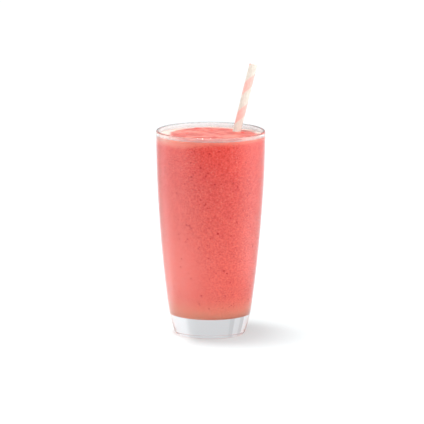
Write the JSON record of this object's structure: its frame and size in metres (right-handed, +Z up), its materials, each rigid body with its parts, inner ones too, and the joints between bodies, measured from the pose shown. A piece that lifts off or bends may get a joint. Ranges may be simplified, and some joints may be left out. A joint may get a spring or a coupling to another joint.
{
  "type": "smoothie in a glass",
  "caption": "Blended pink fruit smoothie filling a tall heavy-based clear tumbler almost to its rim, with a leaning striped paper straw.",
  "frame": {"origin": "on the axis of the glass, at the surface that its foot stands on", "axes": "+Z up along the axis of the glass; the front of the drink as pictured faces -Y; +X to the viewer's right, the side that the straw leans to"},
  "size_m": [0.08, 0.08, 0.1973],
  "materials": {
    "glass": "clear pressed glass, polished, with a thick solid base",
    "smoothie": "stands in for thick blended coral pink fruit, wet and slightly glossy, flecked with darker fruit and small air bubbles",
    "straw": "uncoated off-white paper wound with one broad pink stripe"
  },
  "bodies": {
    "root": {"glass": "glass", "smoothie": "smoothie", "straw": "straw"}
  },
  "joints": []
}
